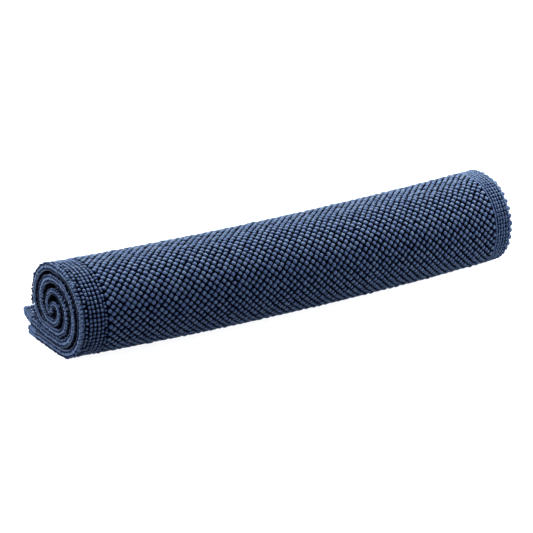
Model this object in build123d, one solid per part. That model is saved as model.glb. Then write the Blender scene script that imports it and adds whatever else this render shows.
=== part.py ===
"""A woven cotton bath mat, folded in half and rolled up, lying on its lower end.

Frame: X runs along the roll, with the near end at -X. Z is up, and the mat lies on
Z = 0. -Y is the front of the roll, and both loose ends of the mat come out at the
back, +Y. The origin is at the middle of the bounding box, on the floor.

The roll is drawn end on, as seen along +X: "forward" is a distance towards the front,
measured from the middle of the roll, and "height" is above the floor.
The cloth runs from the lower end, under the roll and round it as the outer half,
to the fold at the core, and back round as the inner half to the upper end.
"""

from build123d import *
from math import acos, atan2, cos, degrees, hypot, radians, sin
import os

# ---- driving dimensions, in mm ----
roll_length = 600.0          # the mat's width, from selvedge to selvedge
roll_depth = 123.0           # front to back over the outer turn, without the loose ends
roll_height = 110.0

field_thickness = 9.8        # cloth with a bobble face on both sides
border_thickness = 9.0       # plain ribbed cloth beside it
selvedge_thickness = 9.4     # looped edge
border_width = 22.0          # ribbed cloth at each end of the roll
selvedge_width = 6.0

layer_gap = 0.5              # between layers that lie on each other
core_radius = 4.2            # inside of the last bend round the core
outer_lower_back_radius = 29.5   # outer half, where it turns in under the roll
inner_lower_back_radius = 22.0   # inner half, where it rises at the back of the roll
inner_upper_back_radius = 33.0
core_back_radius = 20.0          # outer half, last bend before the fold

top_slack = 4.0              # free space between turns, over and above layer_gap
core_top_slack = 4.0
front_slack = 8.0
back_slack = 6.3
core_back_slack = 4.8
core_front_slack = 6.5

lower_end_reach = 12.7       # how far each end comes out behind the roll
upper_end_reach = 23.0
hem_width = 22.0
hem_ply = 6.2                # the hem is the cloth's end, turned over once
hem_ply_gap = 0.4
hem_turn_in = 2.0            # how much narrower the turned ply is
rest_gap = 0.3               # upper end above the lower hem

bend_to_hem = 5.0            # the upper end bends this far in front of the lower hem
hinge_gap = 0.3

stitch_inset = 4.0           # seam line from the edge of the turned ply
stitch_length = 4.2
stitch_pitch = 6.0
thread_width = 0.9
thread_height = 0.5
groove_width = 1.3           # the seam sinks into the hem

# ---- levels worked out from them ----
cloth_thickness = max(field_thickness, border_thickness, selvedge_thickness)
layer_pitch = cloth_thickness + layer_gap

floor_height = cloth_thickness / 2                       # outer half, on the floor
inner_floor_height = floor_height + layer_pitch          # inner half, on top of it
outer_second_height = floor_height + 2 * layer_pitch     # outer half, second time round
inner_second_height = floor_height + 3 * layer_pitch

top_height = roll_height - cloth_thickness / 2
inner_top_height = top_height - layer_pitch - top_slack
core_top_height = inner_top_height - layer_pitch - core_top_slack

outer_side = roll_depth / 2 - cloth_thickness / 2
inner_front = outer_side - layer_pitch - front_slack
inner_back = outer_side - layer_pitch - back_slack
core_front = inner_front - layer_pitch - core_front_slack
core_back = inner_back - layer_pitch - core_back_slack

lower_end = roll_depth / 2 + lower_end_reach             # tips of the hems, behind the middle
upper_end = roll_depth / 2 + upper_end_reach
hem_thickness = 2 * hem_ply + hem_ply_gap
lower_hem_edge = hem_width - lower_end                   # where the cloth becomes the hem
bend_line = lower_hem_edge + bend_to_hem
no_length = 1e-6

y_middle = (upper_end - roll_depth / 2) / 2              # bounding box centre, behind the roll's middle
x_near = -roll_length / 2


def place(x, forward, height):
    """A point of the end-on drawing, in the frame."""
    return Vector(x, -forward - y_middle, height)


def moved(point, offset):
    """A point with its heading, moved sideways: to the left of its heading if offset is positive."""
    forward, height, heading = point
    return (forward - offset * sin(radians(heading)), height + offset * cos(radians(heading)), heading)


def slope_of_upper_end():
    """The upper end hugs the roll above it, then leaves it straight, and just clears the
    inner corner of the lower hem. That is a tangent from the corner to a circle."""
    centre = (outer_lower_back_radius - outer_side, outer_second_height + outer_lower_back_radius)
    back = centre[0] - (lower_hem_edge - hem_turn_in)
    down = centre[1] - hem_thickness
    underside_radius = outer_lower_back_radius + layer_pitch + cloth_thickness / 2 + rest_gap
    slope = degrees(atan2(back, down) - acos(underside_radius / hypot(back, down)))
    return max(slope, 0.0)


class Run:
    """Cloth seen end on: straight and round stretches, one after another."""

    def __init__(self, forward, height, heading):
        self.point = (forward, height, heading)
        self.length = 0.0
        self.stretches = []

    def straight(self, length):
        if abs(length) < no_length:
            return self
        forward, height, heading = self.point
        end = (forward + length * cos(radians(heading)), height + length * sin(radians(heading)), heading)
        self.stretches.append((self.point, end, None))
        self.point = end
        self.length += length
        return self

    def straight_to(self, forward):
        """Straight on, to that distance forward of the middle."""
        return self.straight((forward - self.point[0]) / cos(radians(self.point[2])))

    def turn(self, angle, radius):
        """A bend with that radius at mid thickness. A positive angle turns the cloth
        up from forward, and on towards the back."""
        if abs(angle) < no_length:
            return self
        side = 1 if angle > 0 else -1
        centre = moved(self.point, side * radius)
        end = moved((centre[0], centre[1], self.point[2] + angle), -side * radius)
        self.stretches.append((self.point, end, (centre, side * radius)))
        self.point = end
        self.length += radius * abs(radians(angle))
        return self

    def round_side(self, angle, rise, first_radius, second_radius):
        """One side of the roll: two quarter bends, and upright cloth between them if the
        rise leaves room for it. Where it leaves too little, the wider bend gets smaller."""
        small = min(first_radius, second_radius, rise / 2)
        large = min(max(first_radius, second_radius), rise - small)
        first, second = (small, large) if first_radius < second_radius else (large, small)
        self.turn(angle / 2, first).straight(rise - first - second)
        return self.turn(angle / 2, second)

    def face_edges(self, x, offset):
        """One face of the cloth: the run's line, moved sideways."""
        edges = []
        for start, end, bend in self.stretches:
            a = place(x, *moved(start, offset)[:2])
            b = place(x, *moved(end, offset)[:2])
            if bend is None:
                edges.append(Line(a, b))
            else:
                centre, signed_radius = bend
                halfway = (centre[0], centre[1], (start[2] + end[2]) / 2)
                edges.append(ThreePointArc(a, place(x, *moved(halfway, offset - signed_radius)[:2]), b))
        return edges

    def cloth(self, x, width, thickness):
        """The run as a solid band of that thickness, width along the roll from x."""
        left = self.face_edges(x, thickness / 2)
        right = self.face_edges(x, -thickness / 2)
        caps = [Line(left[0] @ 0, right[0] @ 0), Line(left[-1] @ 1, right[-1] @ 1)]
        return extrude(Face(Wire(left + right + caps)), amount=width, dir=(1, 0, 0))


def rolled_run():
    """The mat from the inner edge of its lower hem to the bend line of its upper end."""
    run = Run(lower_hem_edge, floor_height, 0)

    # outer half, once round the outside
    front_rise = top_height - floor_height
    outer_radius = min(front_rise / 2, outer_side)
    run.straight_to(outer_side - outer_radius)
    run.round_side(180, front_rise, outer_radius, outer_radius)
    run.straight_to(outer_radius - outer_side)
    run.round_side(180, top_height - outer_second_height, outer_radius, outer_lower_back_radius)

    # outer half, second time round, to the fold
    core_rise = core_top_height - outer_second_height
    core_front_radius = min(core_rise / 2, core_front + core_back - core_back_radius)
    run.straight_to(core_front - core_front_radius)
    run.round_side(180, core_rise, core_front_radius, core_front_radius)
    run.straight_to(core_back_radius - core_back).turn(90, core_back_radius)
    fold_radius = layer_pitch / 2
    fold_height = inner_second_height + layer_pitch + fold_radius
    run.straight(run.point[1] - fold_height)
    run.turn(180, fold_radius)

    # inner half, round the core
    run.turn(-180, core_radius + cloth_thickness / 2)
    run.turn(-90, fold_height - inner_second_height)

    # inner half, up the back, over and down the front
    inner_rise = inner_top_height - inner_floor_height
    inner_front_radius = min(inner_rise / 2, inner_front + inner_back - inner_upper_back_radius)
    back_rise = inner_top_height - inner_second_height
    run.straight_to(inner_lower_back_radius - inner_back)
    run.round_side(-180, back_rise, inner_lower_back_radius, inner_upper_back_radius)
    run.straight_to(inner_front - inner_front_radius)
    run.round_side(-180, inner_rise, inner_front_radius, inner_front_radius)

    # under the roll, and up the slope
    run.straight_to(outer_lower_back_radius - outer_side)
    run.turn(-upper_end_slope, outer_lower_back_radius + layer_pitch)
    return run.straight_to(bend_line)


def upper_run(bend_point):
    """The upper end, from the bend line to its hem."""
    start = Run(*bend_point).straight(hinge_gap).point
    tip_middle = moved((0, 0, bend_point[2]), (cloth_thickness - hem_thickness) / 2)[0]
    tip_bend = hem_thickness / 2 - upper_end - tip_middle
    flat_hem = hem_width - hem_thickness / 2
    return Run(*start).straight_to(tip_bend + flat_hem * cos(radians(upper_end_slope)))


def hem_run(cloth_end):
    """The hem: on to its tip along the cloth's underside, then turned up and back over itself."""
    turn_radius = (hem_ply + hem_ply_gap) / 2
    flat_hem = hem_width - hem_thickness / 2
    run = Run(*moved(cloth_end, (cloth_thickness - hem_ply) / 2))
    return run.straight(flat_hem).turn(-180, turn_radius).straight(flat_hem - hem_turn_in)


def seam(hem):
    """The groove that a row of stitches sinks into, and the stitches in it."""
    forward, height, heading = hem.point
    line = Run(forward, height, heading + 180).straight(stitch_inset).point
    top = moved(line, -hem_ply / 2)
    up = Vector(0, -sin(radians(line[2])), -cos(radians(line[2])))
    hem_top = Plane(origin=place(0, *top[:2]), x_dir=(1, 0, 0), z_dir=up)
    groove = hem_top * Box(roll_length, groove_width, 2 * thread_height)
    stitch = Box(stitch_length, thread_width, thread_height)
    count = int((roll_length - 2 * selvedge_width) // stitch_pitch)
    first = -(count - 1) / 2 * stitch_pitch
    row = [hem_top * Pos(first + i * stitch_pitch, 0, -thread_height / 2) * stitch for i in range(count)]
    return groove, Compound(children=row)


def weave_zones(run, prefix):
    """One stretch of cloth as its field, the ribbed border at each side, and the looped edges."""
    x_border = x_near + selvedge_width
    x_field = x_border + border_width
    x_far = roll_length / 2
    field_width = roll_length - 2 * (border_width + selvedge_width)
    zones = {
        "near_selvedge": (x_near, selvedge_width, selvedge_thickness),
        "near_ribbed_border": (x_border, border_width, border_thickness),
        "bobble_field": (x_field, field_width, field_thickness),
        "far_ribbed_border": (x_far - selvedge_width - border_width, border_width, border_thickness),
        "far_selvedge": (x_far - selvedge_width, selvedge_width, selvedge_thickness),
    }
    return {prefix + name: run.cloth(*zone) for name, zone in zones.items()}


upper_end_slope = slope_of_upper_end()
rolled = rolled_run()
upper_cloth = upper_run(rolled.point)
lower_hem = hem_run((lower_hem_edge, floor_height, 180))
upper_hem = hem_run(upper_cloth.point)

nodes = weave_zones(rolled, "rolled_") | weave_zones(upper_cloth, "upper_end_")
for name, hem in (("lower", lower_hem), ("upper", upper_hem)):
    groove, stitches = seam(hem)
    nodes[name + "_end_hem"] = hem.cloth(x_near, roll_length, hem_ply) - groove
    nodes[name + "_hem_stitching"] = stitches

mat_length = rolled.length + upper_cloth.length + 2 * hem_width
print(f"mat, laid flat: {roll_length:.0f} x {mat_length:.0f} mm")
bend_point = place(0, *moved(rolled.point, -cloth_thickness / 2)[:2])
print(f"bend line of the upper end: y {bend_point.Y:.3f}, z {bend_point.Z:.3f}")

os.makedirs("parts", exist_ok=True)
for name, shape in nodes.items():
    export_step(shape, f"parts/{name}.step")
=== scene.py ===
"""A rolled-up woven cotton bath mat: the visual model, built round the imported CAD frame.

The mat is laid out flat first, in millimetres: x across the mat, s along it from the lower
hem, and h out of the cloth. Then every piece is rolled up along the same end-on line that
the CAD solids follow. h is positive on the face that ends up outside the roll.
"""

import math

import bmesh
import bpy
import numpy as np
from mathutils import Matrix, Vector


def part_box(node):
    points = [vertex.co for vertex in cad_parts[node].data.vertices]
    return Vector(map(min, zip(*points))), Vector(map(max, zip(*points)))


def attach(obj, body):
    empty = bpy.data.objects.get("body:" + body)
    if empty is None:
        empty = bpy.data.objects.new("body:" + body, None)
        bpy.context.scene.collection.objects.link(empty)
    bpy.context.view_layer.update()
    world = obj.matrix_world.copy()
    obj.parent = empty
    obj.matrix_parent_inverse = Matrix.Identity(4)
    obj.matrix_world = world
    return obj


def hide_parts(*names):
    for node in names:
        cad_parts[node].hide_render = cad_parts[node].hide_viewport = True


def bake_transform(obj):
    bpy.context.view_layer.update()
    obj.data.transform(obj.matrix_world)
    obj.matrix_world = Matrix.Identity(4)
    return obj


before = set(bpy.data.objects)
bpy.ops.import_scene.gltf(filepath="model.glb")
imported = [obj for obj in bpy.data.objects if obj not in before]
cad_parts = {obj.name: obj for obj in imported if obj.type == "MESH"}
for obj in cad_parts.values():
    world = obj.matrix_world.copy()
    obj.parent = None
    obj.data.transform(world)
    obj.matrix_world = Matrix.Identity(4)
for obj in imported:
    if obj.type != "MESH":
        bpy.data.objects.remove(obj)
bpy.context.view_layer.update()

MM = 0.001


def box_mm(node):
    return np.array(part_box(node)) / MM


# ---- the roll, from the frame ----
roll_box = box_mm("rolled_bobble_field")
x_near = box_mm("rolled_near_selvedge")[0][0]
x_far = box_mm("rolled_far_selvedge")[1][0]
y_middle = (roll_box[0][1] + roll_box[1][1]) / 2
roll_depth = roll_box[1][1] - roll_box[0][1]
roll_height = roll_box[1][2]
lower_end = box_mm("lower_end_hem")[1][1] - y_middle
upper_end = box_mm("upper_end_hem")[1][1] - y_middle

# ---- the cloth and the shape of the roll, as the CAD solids have them, in mm ----
cloth_thickness = 9.8
layer_gap = 0.5
core_radius = 4.2
outer_lower_back_radius = 29.5
inner_lower_back_radius = 22.0
inner_upper_back_radius = 33.0
core_back_radius = 20.0
top_slack, core_top_slack = 4.0, 4.0          # how loosely each turn lies in the next
front_slack, back_slack = 8.0, 6.3
core_back_slack, core_front_slack = 4.8, 6.5
fold_level = 4.5             # height of the fold in the core, in layers
hem_width = 22.0
hem_ply = 6.2
hem_ply_gap = 0.4
hem_turn_in = 2.0
rest_gap = 0.3
tip_clearance = 0.2          # the cloth stops this far short of the upper hem
stitch_inset = 4.0           # seam line from the edge of the turned cloth
stitch_pitch = 6.0
hem_thickness = 2 * hem_ply + hem_ply_gap

# ---- the weave and the lie of the cloth, in mm ----
ground_thickness = 3.6       # the cloth under the bobbles
hem_cloth_thickness = 4.2
edge_inset = 3.0             # the ground cloth stops this far inside the mat's edges
near_border_width = 35.0
far_border_width = 25.6
bobble_pitch_x = 9.25
bobble_pitch_s = 8.3
rib_pitch = 5.0
hem_stitch_pitch = 4.8
edge_loop_pitch = 2.45
seam_clearance = 1.8         # no hem stitches this close to the seam
seam_end = 6.0               # the seam stops at least this far from the mat's edges
stitch_foot = 1.2            # how high over the cloth's middle most stitches start
open_back = 32.0             # the back shows this far in from the lower hem
shaded_back = 34.0           # and from here on it is shaded
shade_depth = 11.0           # faces that touch are shaded from about this far inside the ends
core_squeeze = 0.34          # the cloth is this much thinner in the tight core
core_reach = 70.0            # along the cloth, either way from the fold
bow = 7.5                    # the middle lies this far in front of the CAD line, the ends behind it
flap_from = -16.0            # forward of the roll's middle, where the upper end's pieces start
rng = np.random.default_rng(7)


class ClothLine:
    """Cloth seen end on: straight stretches and bends, kept as closely spaced points."""

    step = 0.5
    core_s = -1000.0         # where the cloth is squeezed in the core, if it passes there

    def __init__(self, forward, height, heading):
        self.at = np.array([forward, height], float)
        self.heading = math.radians(heading)
        self.points = [self.at.copy()]

    def straight(self, length):
        count = max(1, round(abs(length) / self.step))
        along = np.array([math.cos(self.heading), math.sin(self.heading)]) * length / count
        for _ in range(count):
            self.at = self.at + along
            self.points.append(self.at.copy())
        return self

    def straight_to(self, forward):
        return self.straight((forward - self.at[0]) / math.cos(self.heading))

    def turn(self, angle, radius):
        count = max(2, round(abs(math.radians(angle)) * radius / self.step))
        part = math.radians(angle) / count
        chord = 2 * radius * math.sin(abs(part) / 2)
        for _ in range(count):
            self.heading += part / 2
            ahead = np.array([math.cos(self.heading), math.sin(self.heading)])
            self.at = self.at + chord * ahead
            self.heading += part / 2
            self.points.append(self.at.copy())
        return self

    def finish(self, ease=0.0):
        """Spaces the points evenly and eases the bends into each other."""
        points = np.array(self.points)
        steps = np.linalg.norm(np.diff(points, axis=0), axis=1)
        gone = np.concatenate([[0], np.cumsum(steps)])
        self.s = np.linspace(0, gone[-1], int(gone[-1] / self.step) + 1)
        even = np.stack([np.interp(self.s, gone, points[:, i]) for i in (0, 1)], axis=1)
        if ease:
            reach = int(3 * ease / self.step)
            weights = np.exp(-0.5 * (np.arange(-reach, reach + 1) * self.step / ease) ** 2)
            weights /= weights.sum()
            start = 2 * even[0] - even[reach:0:-1]
            end = 2 * even[-1] - even[-2:-reach - 2:-1]
            padded = np.concatenate([start, even, end])
            even = np.stack(
                [np.convolve(padded[:, i], weights, "valid") for i in (0, 1)], axis=1)
        self.even = even
        tangent = np.gradient(even, axis=0)
        tangent /= np.linalg.norm(tangent, axis=1)[:, None]
        self.normal = np.stack([tangent[:, 1], -tangent[:, 0]], axis=1)
        self.length = self.s[-1]
        return self

    def roll(self, flat):
        """Points (x, s, h) of the flat mat, in mm, as points of the frame, in mm."""
        x, s, h = flat[:, 0], flat[:, 1], flat[:, 2]
        h = h * (1 - core_squeeze * np.exp(-(((s - self.core_s) / core_reach) ** 2)))
        over = s - np.clip(s, 0, self.length)
        s = np.clip(s, 0, self.length)
        at = np.stack([np.interp(s, self.s, self.even[:, i]) for i in (0, 1)], axis=1)
        out = np.stack([np.interp(s, self.s, self.normal[:, i]) for i in (0, 1)], axis=1)
        along = np.stack([-out[:, 1], out[:, 0]], axis=1)
        at = at + out * h[:, None] + along * over[:, None]
        half = (x_far - x_near) / 2
        sway = bow * (2 * (x / half) ** 2 - 1)
        return np.stack([x, y_middle - at[:, 0] + sway, np.maximum(at[:, 1], 0)], axis=1)


def hem_line(at, heading, curl, swell=0.0):
    """The hem's end-on line: from the cloth's end to the tip, curling up, and back over itself."""
    turn_radius = (hem_ply + hem_ply_gap) / 2
    flat = hem_width + swell - hem_thickness / 2
    down = math.radians(heading + 90)
    offset = (cloth_thickness - hem_ply) / 2
    start = at + offset * np.array([math.cos(down), math.sin(down)])
    line = ClothLine(start[0], start[1], heading)
    curl_radius = flat / math.radians(curl)
    line.turn(-curl, curl_radius).turn(-180, turn_radius)
    return line.turn(curl, curl_radius - 2 * turn_radius).finish()


def mat_line():
    """The mat's end-on line, from the lower hem, round the roll, to the upper hem."""
    pitch = cloth_thickness + layer_gap
    floor = cloth_thickness / 2
    top = roll_height - cloth_thickness / 2
    inner_top = top - pitch - top_slack
    core_top = inner_top - pitch - core_top_slack
    side = roll_depth / 2 - cloth_thickness / 2
    inner_front = side - pitch - front_slack
    inner_back = side - pitch - back_slack
    core_front = inner_front - pitch - core_front_slack
    core_back = inner_back - pitch - core_back_slack

    line = ClothLine(hem_width - lower_end, floor, 0)
    front_radius = (top - floor) / 2
    line.straight_to(side - front_radius).turn(180, front_radius)
    line.straight_to(front_radius - side).turn(90, front_radius)
    line.turn(90, top - front_radius - floor - 2 * pitch)

    core_radius_front = (core_top - floor - 2 * pitch) / 2
    line.straight_to(core_front - core_radius_front).turn(180, core_radius_front)
    line.straight_to(core_back_radius - core_back).turn(90, core_back_radius)
    fold_height = floor + fold_level * pitch
    line.straight(line.at[1] - fold_height)
    line.core_s = len(line.points) * line.step
    line.turn(180, pitch / 2)

    line.turn(-180, core_radius + cloth_thickness / 2).turn(-90, fold_height - floor - 3 * pitch)
    line.straight_to(inner_lower_back_radius - inner_back)
    rise = inner_top - floor - 3 * pitch
    line.turn(-90, inner_lower_back_radius).turn(-90, rise - inner_lower_back_radius)
    front_radius = (inner_top - floor - pitch) / 2
    line.straight_to(inner_front - front_radius).turn(-180, front_radius)

    line.straight_to(outer_lower_back_radius - side)
    line.turn(-upper_end_slope(side, floor, pitch), outer_lower_back_radius + pitch)
    line.straight_to(hem_width - upper_end + tip_clearance)
    return line


def upper_end_slope(side, floor, pitch):
    """The upper end leaves the roll as a tangent that just clears the lower hem's corner."""
    centre = (outer_lower_back_radius - side, floor + 2 * pitch + outer_lower_back_radius)
    back = centre[0] - (hem_width - lower_end - hem_turn_in)
    down = centre[1] - hem_thickness
    radius = outer_lower_back_radius + pitch + cloth_thickness / 2 + rest_gap
    return math.degrees(math.atan2(back, down) - math.acos(radius / math.hypot(back, down)))


# ---- meshes ----

def new_object(name, mesh):
    thing = bpy.data.objects.new(name, mesh)
    bpy.context.scene.collection.objects.link(thing)
    return thing


def from_bmesh(name, bm):
    mesh = bpy.data.meshes.new(name)
    bm.to_mesh(mesh)
    bm.free()
    return new_object(name, mesh)


def applied(thing):
    """The object with its modifiers made part of its mesh."""
    bpy.context.view_layer.update()
    graph = bpy.context.evaluated_depsgraph_get()
    mesh = bpy.data.meshes.new_from_object(thing.evaluated_get(graph))
    old = thing.data
    thing.modifiers.clear()
    thing.data = mesh
    bpy.data.meshes.remove(old)
    return thing


def get_points(mesh):
    points = np.empty(len(mesh.vertices) * 3)
    mesh.vertices.foreach_get("co", points)
    return points.reshape(-1, 3)


def set_points(mesh, points):
    mesh.vertices.foreach_set("co", np.ascontiguousarray(points).ravel())
    mesh.update()


def set_attribute(mesh, name, values):
    attribute = mesh.attributes.get(name) or mesh.attributes.new(name, "FLOAT", "POINT")
    attribute.data.foreach_set("value", np.ascontiguousarray(values, dtype=np.float32))


def smooth(mesh):
    mesh.polygons.foreach_set("use_smooth", np.ones(len(mesh.polygons), bool))


def knob(across, along, height, sides=8, square=0.0):
    """One knob of yarn, closed underneath: its foot at h = 0 and its size in mm."""
    bm = bmesh.new()
    bmesh.ops.create_uvsphere(bm, u_segments=sides, v_segments=6, radius=1)
    bmesh.ops.delete(bm, geom=[v for v in bm.verts if v.co.z < -0.6], context="VERTS")
    bmesh.ops.holes_fill(bm, edges=bm.edges[:], sides=sides)
    bmesh.ops.translate(bm, verts=bm.verts, vec=(0, 0, 0.5))
    yarn = bm.loops.layers.uv.new("yarn")
    for face in bm.faces:
        for loop in face.loops:
            loop[yarn].uv = (0.5 + loop.vert.co.x / 2, 0.5 + loop.vert.co.y / 2)
    for v in bm.verts:
        corner = 1 + square * abs(v.co.x * v.co.y)
        v.co.x *= corner
        v.co.y *= corner
    bmesh.ops.scale(bm, verts=bm.verts, vec=(across / 2, along / 2, height / 1.5))
    return from_bmesh("knob", bm)


def edge_strand(yarn_radius, half_thickness, run_in, corner):
    """One yarn round the mat's edge: out from the face, down the edge and in on the back."""
    reach = half_thickness - yarn_radius
    corner = min(corner, reach)
    bm = bmesh.new()
    ring = bmesh.ops.create_circle(bm, segments=6, radius=yarn_radius)["verts"]
    upright = Matrix.Rotation(math.pi / 2, 3, "Y")
    bmesh.ops.rotate(bm, verts=ring, cent=(0, 0, 0), matrix=upright)
    bmesh.ops.translate(bm, verts=ring, vec=(-run_in, 0, reach))
    edges = bm.edges[:]

    def reach_out(edges, along):
        swept = bmesh.ops.extrude_edge_only(bm, edges=edges)["geom"]
        end = [g for g in swept if isinstance(g, bmesh.types.BMVert)]
        bmesh.ops.translate(bm, verts=end, vec=along)
        sides = [g for g in swept if isinstance(g, bmesh.types.BMEdge)]
        return [edge for edge in sides if all(v in end for v in edge.verts)]

    def bend(edges, height):
        swept = bmesh.ops.spin(bm, geom=edges, cent=(0, 0, height), axis=(0, 1, 0),
                               angle=math.pi / 2, steps=3)
        return [g for g in swept["geom_last"] if isinstance(g, bmesh.types.BMEdge)]

    edges = bend(reach_out(edges, (run_in, 0, 0)), reach - corner)
    edges = bend(reach_out(edges, (0, 0, -2 * (reach - corner))), corner - reach)
    reach_out(edges, (-run_in, 0, 0))
    bmesh.ops.holes_fill(bm, edges=bm.edges[:], sides=6)
    bmesh.ops.recalc_face_normals(bm, faces=bm.faces)
    yarn = bm.loops.layers.uv.new("yarn")
    for face in bm.faces:
        for loop in face.loops:
            turn = math.atan2(loop.vert.co.z, loop.vert.co.x + run_in)
            loop[yarn].uv = (turn, 0.5 + loop.vert.co.y / (2 * yarn_radius))
    strand = from_bmesh("edge_strand", bm)
    points = get_points(strand.data)
    # painted shade: lighter where the yarn stands out from the cloth, darker where it runs in
    # against it
    outward = np.maximum(abs(points[:, 2]) - reach, points[:, 0] - corner) / yarn_radius
    set_attribute(strand.data, "lift", np.clip(0.5 + 0.5 * outward, 0, 1))
    return strand


def rows_of(template, count):
    """That many copies of a template, one after another in one mesh."""
    array = template.modifiers.new("copies", "ARRAY")
    array.use_relative_offset = False
    array.count = count
    return applied(template)


def lay_stitches(name, template, line, places, side, foot, jitter, twist, lift_jitter,
                 spread=0.08, turn=0.0, flip_x=False, paint_shade=None):
    """Copies of one stitch at places (x, s) of the flat mat, then rolled up on the line.

    side is 1 for the face and -1 for the back. Each copy starts foot above the cloth's middle,
    and jitter and lift_jitter (mm), twist (degrees) and spread (share) make it uneven.
    """
    per = len(template.data.vertices)
    count = len(places)
    own_lift = "lift" in template.data.attributes
    thing = rows_of(template, count)
    thing.name = name
    thing.data.name = name
    points = get_points(thing.data).reshape(count, per, 3)
    # the stitch's height share is the mask of its painted shade: darkest at its foot, its own
    # colour on top
    if not own_lift:
        lift = np.clip(points[..., 2] / points[..., 2].max(), 0, 1)
        set_attribute(thing.data, "lift", lift.ravel())
    if flip_x:
        points[..., :2] *= -1
    angle = np.radians(turn + rng.normal(0, twist, count))[:, None]
    size = 1 + rng.normal(0, spread, (count, 3))
    x, y = points[..., 0] * size[:, :1], points[..., 1] * size[:, 1:2]
    local = np.stack([
        x * np.cos(angle) - y * np.sin(angle),
        x * np.sin(angle) + y * np.cos(angle),
        points[..., 2] * size[:, 2:]], axis=-1)
    local[..., 0] *= side
    local[..., 2] *= side
    centre = np.zeros((count, 3))
    centre[:, :2] = places + rng.normal(0, jitter, (count, 2))
    centre[:, 2] = side * (foot + rng.normal(0, lift_jitter, count))
    flat = (local + centre[:, None, :]).reshape(-1, 3)
    # painted shade on faces hidden inside the roll, where a piece asks for it
    if paint_shade:
        paint_shade(thing, flat, side)
    set_points(thing.data, line.roll(flat) * MM)
    set_attribute(thing.data, "tone", np.repeat(rng.random(count), per))
    smooth(thing.data)
    return thing


def ground_sheet(name, line, x_low, x_high, s_low, s_high, thickness, step_s=2.0, step_x=12.0):
    """The cloth under the stitches, as one closed sheet, painted dark as the shade between them."""
    bm = bmesh.new()
    columns = max(2, round((x_high - x_low) / step_x))
    rows = max(2, round((s_high - s_low) / step_s))
    bm.loops.layers.uv.new("yarn")
    bmesh.ops.create_grid(bm, x_segments=columns, y_segments=rows, size=0.5, calc_uvs=True)
    thing = from_bmesh(name, bm)
    points = get_points(thing.data)
    flat = np.stack([
        x_low + (points[:, 0] + 0.5) * (x_high - x_low),
        s_low + (points[:, 1] + 0.5) * (s_high - s_low),
        np.zeros(len(points))], axis=1)
    set_points(thing.data, line.roll(flat) * MM)
    solid = thing.modifiers.new("thickness", "SOLIDIFY")
    solid.thickness = thickness * MM
    solid.offset = 0
    applied(thing)
    set_attribute(thing.data, "tone", np.full(len(thing.data.vertices), 0.35))
    # lift 0 everywhere: the whole sheet takes the painted shade of the gaps between stitches
    set_attribute(thing.data, "lift", np.zeros(len(thing.data.vertices)))
    smooth(thing.data)
    return thing


def lattice(x_low, x_high, s_low, s_high, pitch_x, pitch_s, staggered):
    """Centres of stitches that fill the space between the limits.

    Staggered, each row lies half a pitch over from the next.
    """
    columns = max(1, round((x_high - x_low) / pitch_x))
    rows = max(1, round((s_high - s_low) / pitch_s))
    pitch_x = (x_high - x_low) / columns
    pitch_s = (s_high - s_low) / rows
    column, row = np.meshgrid(np.arange(columns), np.arange(rows))
    spread = [(0.25, 0.25), (0.75, 0.75)] if staggered else [(0.5, 0.5)]
    return np.concatenate([np.stack([
        x_low + (column + over).ravel() * pitch_x,
        s_low + (row + along).ravel() * pitch_s], axis=1) for over, along in spread])


def joined(name, things):
    """Several meshes as one piece."""
    with bpy.context.temp_override(active_object=things[0], selected_editable_objects=things):
        bpy.ops.object.join()
    things[0].name = name
    return things[0]


# ---- materials ----

def yarn_group():
    """Plied yarn: strands across a stitch, the twist of each, and loose fibres over all."""
    group = bpy.data.node_groups.new("plied_yarn", "ShaderNodeTree")
    for way, names in (("INPUT", ("Strands", "Twist")), ("OUTPUT", ("Height", "Fibre"))):
        for name in names:
            group.interface.new_socket(name, in_out=way, socket_type="NodeSocketFloat")
    nodes, links = group.nodes, group.links
    entry = nodes.new("NodeGroupInput")
    leave = nodes.new("NodeGroupOutput")
    place = nodes.new("ShaderNodeTexCoord")
    split = nodes.new("ShaderNodeSeparateXYZ")
    links.new(place.outputs["UV"], split.inputs[0])

    def math_node(operation, a, b=None):
        node = nodes.new("ShaderNodeMath")
        node.operation = operation
        for slot, value in enumerate((a, b)):
            if value is None:
                continue
            if isinstance(value, (int, float)):
                node.inputs[slot].default_value = value
            else:
                links.new(value, node.inputs[slot])
        return node.outputs[0]

    across = math_node("MULTIPLY", split.outputs["Y"], entry.outputs["Strands"])
    slant = math_node("MULTIPLY", split.outputs["X"], 0.6)
    phase = math_node("MULTIPLY", math_node("ADD", across, slant), math.pi)
    strand = math_node("ABSOLUTE", math_node("SINE", phase))
    lean = math_node("MULTIPLY", split.outputs["X"], entry.outputs["Twist"])
    ply = math_node("SINE", math_node("MULTIPLY", math_node("ADD", across, lean), 2 * math.pi))
    fibre = nodes.new("ShaderNodeTexNoise")
    fibre.inputs["Scale"].default_value = 1400
    fibre.inputs["Detail"].default_value = 3
    fibre.inputs["Roughness"].default_value = 0.65
    links.new(place.outputs["Object"], fibre.inputs["Vector"])
    fuzz = fibre.outputs["Fac"]
    height = math_node("ADD", strand, math_node("MULTIPLY", ply, 0.18))
    height = math_node("ADD", height, math_node("MULTIPLY", fuzz, 0.9))
    links.new(height, leave.inputs["Height"])
    links.new(fuzz, leave.inputs["Fibre"])
    return group


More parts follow.
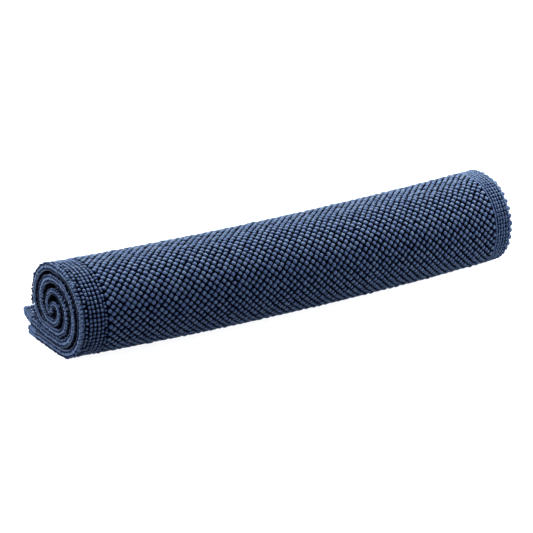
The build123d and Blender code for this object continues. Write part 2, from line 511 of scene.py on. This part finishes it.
def cotton(name, dark, light, strands, twist, relief, deep=0.03, sheen=0.1):
    """Dyed cotton with yarn in relief, and painted shade: darker down between the stitches, lighter
    on their tops.
    """
    material = bpy.data.materials.new(name)
    material.use_nodes = True
    nodes, links = material.node_tree.nodes, material.node_tree.links
    shader = nodes["Principled BSDF"]
    shader.inputs["Roughness"].default_value = 0.9
    shader.inputs["Specular IOR Level"].default_value = 0.03
    shader.inputs["Sheen Weight"].default_value = sheen
    shader.inputs["Sheen Roughness"].default_value = 0.6
    shader.inputs["Sheen Tint"].default_value = (0.95, 1, 0.97, 1)
    yarn = nodes.new("ShaderNodeGroup")
    yarn.node_tree = yarn_pattern
    yarn.inputs["Strands"].default_value = strands
    yarn.inputs["Twist"].default_value = twist
    tone = nodes.new("ShaderNodeAttribute")
    tone.attribute_name = "tone"
    lift = nodes.new("ShaderNodeAttribute")
    lift.attribute_name = "lift"

    blend = nodes.new("ShaderNodeMix")
    blend.data_type = "RGBA"
    blend.inputs["A"].default_value = (*dark, 1)
    blend.inputs["B"].default_value = (*light, 1)
    share = nodes.new("ShaderNodeMath")
    share.operation = "MULTIPLY_ADD"
    links.new(tone.outputs["Fac"], share.inputs[0])
    share.inputs[1].default_value = 0.16
    links.new(yarn.outputs["Fibre"], share.inputs[2])
    spread = nodes.new("ShaderNodeMapRange")
    spread.inputs["From Min"].default_value = 0.2
    spread.inputs["From Max"].default_value = 0.9
    links.new(share.outputs[0], spread.inputs["Value"])
    links.new(spread.outputs[0], blend.inputs["Factor"])

    # painted shade: by the lift attribute the colour sinks to a near-black navy down each stitch's
    # sides and in the ground between stitches
    raised = nodes.new("ShaderNodeMapRange")
    raised.interpolation_type = "SMOOTHSTEP"
    raised.inputs["From Min"].default_value = 0.38
    raised.inputs["From Max"].default_value = 1.0
    raised.inputs["To Min"].default_value = deep
    links.new(lift.outputs["Fac"], raised.inputs["Value"])
    painted_shade_mix = nodes.new("ShaderNodeMix")
    painted_shade_mix.data_type = "RGBA"
    painted_shade_mix.inputs["A"].default_value = (*navy_painted_shade, 1)
    links.new(raised.outputs[0], painted_shade_mix.inputs["Factor"])
    links.new(blend.outputs["Result"], painted_shade_mix.inputs["B"])
    links.new(painted_shade_mix.outputs["Result"], shader.inputs["Base Color"])

    bump = nodes.new("ShaderNodeBump")
    bump.inputs["Strength"].default_value = relief
    bump.inputs["Distance"].default_value = 0.0005
    links.new(yarn.outputs["Height"], bump.inputs["Height"])
    links.new(bump.outputs["Normal"], shader.inputs["Normal"])
    return material


yarn_pattern = yarn_group()
# near-black navy: the painted shade down between the stitches and at their feet
navy_painted_shade = (0.0008, 0.0030, 0.015)
navy_dark, navy_light = (0.019, 0.038, 0.124), (0.118, 0.154, 0.196)
# deep: how much of the yarn's own colour stays at a stitch's foot under the painted shade
bobble_yarn = cotton("bobble_yarn", navy_dark, navy_light, 3.0, 3.0, 0.7)
rib_yarn = cotton("rib_yarn", navy_dark, navy_light, 2.0, 3.0, 0.6)
fine_rib_yarn = cotton("fine_rib_yarn", navy_dark, navy_light, 2.0, 3.0, 0.6, deep=0.5)
edge_yarn = cotton("edge_yarn", navy_dark, navy_light, 2.0, 4.0, 0.6, deep=0.6)
ground_yarn = cotton("ground_yarn", navy_dark, navy_light, 120.0, 90.0, 0.8, sheen=0)
hem_yarn = cotton("hem_yarn", navy_dark, navy_light, 120.0, 20.0, 0.8, deep=0.35)
thread_dark, thread_light = (0.03, 0.05, 0.11), (0.06, 0.09, 0.17)
seam_thread = cotton("seam_thread", thread_dark, thread_light, 4.0, 8.0, 0.4, deep=0.6)


def finish_piece(piece, body, material, replaces=()):
    """Gives a piece its yarn, hides the solids it stands for, and hangs it on the body it moves
    with; a piece across the bend is left free.
    """
    piece.data.materials.clear()
    piece.data.materials.append(material)
    if replaces:
        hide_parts(*replaces)
    if body == "across the bend":
        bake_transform(piece)
    else:
        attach(piece, body)
    return piece


# ---- the mat ----

mat = mat_line().finish(ease=2.0)
end_run = mat.even[-1] - mat.even[-9]
lower_hem = hem_line(mat.even[0], 180, curl=3)
end_heading = math.degrees(math.atan2(end_run[1], end_run[0]))
upper_hem = hem_line(mat.even[-1], end_heading, curl=32, swell=3.0)

# outer_s is where the outer turn has come round and runs in under the roll, at the third layer
third_layer = cloth_thickness / 2 + 2 * (cloth_thickness + layer_gap)
past_the_top = mat.s > 300
outer_s = mat.s[np.flatnonzero(past_the_top & (mat.even[:, 1] < third_layer + 1))[0]]
split_s = mat.s[np.flatnonzero(mat.even[:, 0] > flap_from)[-1]]

near_field, far_field = x_near + near_border_width, x_far - far_border_width
rolled = (0, split_s, "roll", "rolled")
flap = (split_s, mat.length, "across the bend", "upper_end")


def paint_roll_shade(piece, flat, side):
    """Painted shade: darkens stitches on faces that lie against each other in the roll, away from
    its ends.
    """
    depth = np.minimum(flat[:, 0] - x_near, x_far - flat[:, 0])
    hidden = (flat[:, 1] < split_s) & (flat[:, 1] > (outer_s if side > 0 else shaded_back))
    lift = np.empty(len(flat), np.float32)
    piece.data.attributes["lift"].data.foreach_get("value", lift)
    shade = np.where(hidden, np.clip(1.1 - depth / shade_depth, 0, 1), 1)
    set_attribute(piece.data, "lift", lift * shade)


def bobbles(name, places, side, body):
    knobs = knob(7.1, 6.4, 3.7, square=-0.3)
    piece = lay_stitches(name, knobs, mat, places, side, foot=stitch_foot, turn=-5, twist=8,
                         jitter=0.25, spread=0.06, lift_jitter=0.15, paint_shade=paint_roll_shade)
    return finish_piece(piece, body, bobble_yarn)


def field(s_low, s_high, x_low=near_field, x_high=far_field):
    return lattice(x_low, x_high, s_low, s_high, bobble_pitch_x, bobble_pitch_s, True)


def field_ends(s_low, s_high):
    """Where a face is hidden in the roll, only the bobbles that its open ends show."""
    depth = 4 * bobble_pitch_x
    return np.concatenate([
        field(s_low, s_high, near_field, near_field + depth),
        field(s_low, s_high, far_field - depth, far_field)])


def spaced(limits, pitch):
    """Evenly spaced places along the mat, as near to that pitch as fills the limits."""
    s_low, s_high = limits
    rows = round((s_high - s_low) / pitch)
    return s_low + (np.arange(rows) + 0.5) * (s_high - s_low) / rows


def lumps(template, edge_x, inward, offsets, pitch, limits, **how):
    """Columns of small stitches at those distances from the mat's edge, on both its faces."""
    rows = spaced(limits, pitch)
    places = np.array([(edge_x + inward * offset, at) for offset in offsets for at in rows])
    return [lay_stitches("lumps", template(), mat, places, side, paint_shade=paint_roll_shade, **how)
            for side in (1, -1)]


def lip(edge_x, inward, limits):
    """The thin crisp cord along the mat's edge, on its back."""
    s = spaced(limits, 2)
    places = np.stack([np.full(len(s), edge_x + inward * 0.7), s], axis=1)
    return lay_stitches("lip", knob(1.9, 4.4, 1.5, sides=6), mat, places, -1, foot=3.3,
                        jitter=0.05, twist=2, lift_jitter=0.05, spread=0.03)


def near_border(limits):
    """From the edge in: fine knots, uneven loops, four knitted columns, small twisted loops."""
    steady = dict(foot=stitch_foot, jitter=0.18, twist=6, lift_jitter=0.12, spread=0.06)
    uneven = dict(foot=stitch_foot, jitter=0.45, twist=25, lift_jitter=0.3, spread=0.12)
    loops = lumps(lambda: knob(4.6, 4.2, 3.6, sides=7), x_near, 1,
                  (2.6, 7.6), 4.9, limits, **uneven)
    ribs = lumps(lambda: knob(4.0, 4.7, 3.4, sides=8, square=0.5), x_near, 1,
                 (12.8, 17.8, 22.8, 27.8), rib_pitch, limits, **steady)
    small = lumps(lambda: knob(4.0, 3.9, 3.4, sides=7), x_near, 1,
                  (32.4,), 4.25, limits, **uneven)
    knots = lumps(lambda: knob(3.6, 2.9, 3.7, sides=7), x_near, 1, (1.1,), 4.1, limits,
                  foot=1.5, jitter=0.25, twist=20, lift_jitter=0.3, spread=0.12)
    return loops + ribs + small + knots + [lip(x_near, 1, limits)]


def far_border(limits):
    """From the edge in: a scalloped row of loops, five fine columns, a smooth raised cord."""
    steady = dict(foot=stitch_foot, jitter=0.15, twist=6, lift_jitter=0.1, spread=0.06)
    ribs = lumps(lambda: knob(3.5, 4.5, 3.4, sides=8, square=0.5), x_far, -1,
                 (3.4, 7.5, 11.6, 15.7, 19.6), 4.6, limits, **steady)
    picots = lumps(lambda: knob(5.6, 6.2, 3.4, sides=8), x_far, -1, (-0.1,), 9.3, limits,
                   foot=-0.2, jitter=0.15, twist=10, lift_jitter=0.1, spread=0.08)
    cord = lumps(lambda: knob(3.4, 5.2, 3.5, sides=7), x_far, -1, (23.6,), 3.7, limits,
                 foot=stitch_foot, jitter=0.08, twist=3, lift_jitter=0.05, spread=0.03)
    return ribs + picots + cord + [lip(x_far, -1, limits)]


def edge_loops(name, line, edge_x, outward, limits, body, thickness, scallop_pitch,
               scallop_depth, replaced=()):
    """The yarns that go round the mat's edge, side by side along it, in shallow scallops."""
    s = spaced(limits, edge_loop_pitch)
    inset = 1.8 + scallop_depth * (0.5 - 0.5 * np.cos(2 * math.pi * s / scallop_pitch))
    places = np.stack([edge_x - outward * inset, s], axis=1)
    strand = edge_strand(0.95, thickness / 2, 3.2, corner=1.1)
    loops = lay_stitches(name, strand, line, places, 1, foot=0, twist=7, jitter=0.15,
                         spread=0.04, lift_jitter=0.12, flip_x=outward < 0)
    return finish_piece(loops, body, edge_yarn, replaced)


ground_pieces = {}
for s_low, s_high, body, where in (rolled, flap):
    ground_pieces[where] = ground_sheet(f"{where}_ground_cloth", mat, x_near + edge_inset,
                                        x_far - edge_inset, s_low, s_high, ground_thickness)
    finish_piece(ground_pieces[where], body, ground_yarn,
                 [f"{where}_bobble_field"])

stages = np.linspace(0, outer_s, 5)
for name, s_low, s_high in zip(("under", "front", "top", "back"), stages[:-1], stages[1:]):
    bobbles(f"rolled_{name}_bobbles", field(s_low, s_high), 1, "roll")
bobbles("rolled_inner_face_bobbles", field_ends(outer_s, split_s), 1, "roll")
back_places = np.concatenate([field(0, open_back), field_ends(open_back, split_s)])
bobbles("rolled_inner_back_bobbles", back_places, -1, "roll")
bobbles("upper_end_top_bobbles", field(split_s, mat.length), 1, "across the bend")
bobbles("upper_end_under_bobbles", field(split_s, mat.length), -1, "across the bend")

for s_low, s_high, body, where in (rolled, flap):
    limits = (s_low, s_high)
    near_ribs = joined(f"{where}_near_ribs", near_border(limits))
    finish_piece(near_ribs, body, rib_yarn, [f"{where}_near_ribbed_border"])
    far_ribs = joined(f"{where}_far_ribs", far_border(limits))
    finish_piece(far_ribs, body, fine_rib_yarn, [f"{where}_far_ribbed_border"])
    edge_loops(f"{where}_near_edge_loops", mat, x_near, -1, limits, body,
               6.0, 4.9, 0.8, [f"{where}_near_selvedge"])
    edge_loops(f"{where}_far_edge_loops", mat, x_far, 1, limits, body,
               8.6, 9.3, 2.2, [f"{where}_far_selvedge"])


def hem(name, line, body):
    """The end of the mat, turned up and sewn down, with its own small stitches."""
    cloth = ground_sheet(f"{name}_hem_cloth", line, x_near + 2, x_far - 2, 0, line.length,
                         hem_cloth_thickness, step_s=1.0)
    finish_piece(cloth, body, hem_yarn, [f"{name}_end_hem"])
    seam_s = line.length - stitch_inset
    places = lattice(x_near + edge_inset, x_far - edge_inset, 0, line.length,
                     hem_stitch_pitch, hem_stitch_pitch, False)
    places = places[abs(places[:, 1] - seam_s) > seam_clearance]
    stitch = knob(4.5, 4.7, 1.9, sides=7, square=0.3)
    stitches = lay_stitches(f"{name}_hem_lumps", stitch, line, places, -1, foot=1.5,
                            jitter=0.3, twist=15, lift_jitter=0.15)
    finish_piece(stitches, body, rib_yarn)
    for end, edge_x, outward in (("near", x_near, -1), ("far", x_far, 1)):
        edge_loops(f"{name}_hem_{end}_edge", line, edge_x, outward, (0, line.length), body,
                   6.2, 4.9, 0.6)
    count = int((x_far - x_near - 2 * seam_end) // stitch_pitch)
    xs = (np.arange(count) - (count - 1) / 2) * stitch_pitch
    places = np.stack([xs, np.full(count, seam_s)], axis=1)
    thread = lay_stitches(f"{name}_hem_thread", knob(4.6, 1.3, 1.0, sides=6), line, places, -1,
                          foot=2.0, jitter=0.1, twist=4, lift_jitter=0.02)
    finish_piece(thread, body, seam_thread, [f"{name}_hem_stitching"])
    return cloth


lower_hem_cloth = hem("lower", lower_hem, "roll")
upper_hem_cloth = hem("upper", upper_hem, "upper_end")

# ---- the studio ----

def studio():
    """A pale floor that gives off light of its own, a blue surround and three lamps."""
    bm = bmesh.new()
    bmesh.ops.create_grid(bm, x_segments=1, y_segments=1, size=30)
    floor = from_bmesh("floor", bm)
    pale = bpy.data.materials.new("pale_floor")
    pale.use_nodes = True
    shader = pale.node_tree.nodes["Principled BSDF"]
    shader.inputs["Base Color"].default_value = (0.2, 0.2, 0.2, 1)
    shader.inputs["Roughness"].default_value = 0.9
    shader.inputs["Emission Color"].default_value = (1, 1, 1, 1)
    shader.inputs["Emission Strength"].default_value = 0.65
    floor.data.materials.append(pale)

    world = bpy.data.worlds.new("studio")
    bpy.context.scene.world = world
    world.use_nodes = True
    background = world.node_tree.nodes["Background"]
    background.inputs["Color"].default_value = (0.35, 0.58, 1, 1)
    background.inputs["Strength"].default_value = 0.45

    def lamp(name, place, aim, size, power, colour=(1, 1, 1)):
        light = bpy.data.lights.new(name, "AREA")
        light.size = size
        light.energy = power
        light.color = colour
        thing = bpy.data.objects.new(name, light)
        bpy.context.scene.collection.objects.link(thing)
        thing.location = place
        thing.rotation_euler = (Vector(aim) - Vector(place)).to_track_quat("-Z", "Y").to_euler()

    lamp("overhead", (0.6, 0.8, 1.7), (0, 0, 0.05), 1.1, 112, (1, 0.97, 0.86))
    lamp("left_end", (-1.5, 0.15, 0.6), (-0.3, 0, 0.05), 0.7, 38)
    lamp("right_front", (0.95, -0.5, 0.45), (0.28, 0, 0.05), 0.5, 11)
    bpy.context.scene.view_settings.view_transform = "Standard"
    bpy.context.scene.view_settings.look = "High Contrast"


def camera():
    look_az, look_el = math.radians(-31.43), math.radians(21.70)
    level = math.cos(look_el)
    look = Vector((-math.sin(look_az) * level, math.cos(look_az) * level, -math.sin(look_el)))
    aim = Vector((-0.01865, -0.0115, 0.0541))
    distance = 4.680
    data = bpy.data.cameras.new("camera")
    data.lens = 265.2
    data.sensor_width = 36
    data.clip_end = 50
    thing = bpy.data.objects.new("camera", data)
    bpy.context.scene.collection.objects.link(thing)
    thing.location = aim - look * distance
    thing.rotation_euler = look.to_track_quat("-Z", "Y").to_euler()
    bpy.context.scene.camera = thing


studio()
camera()
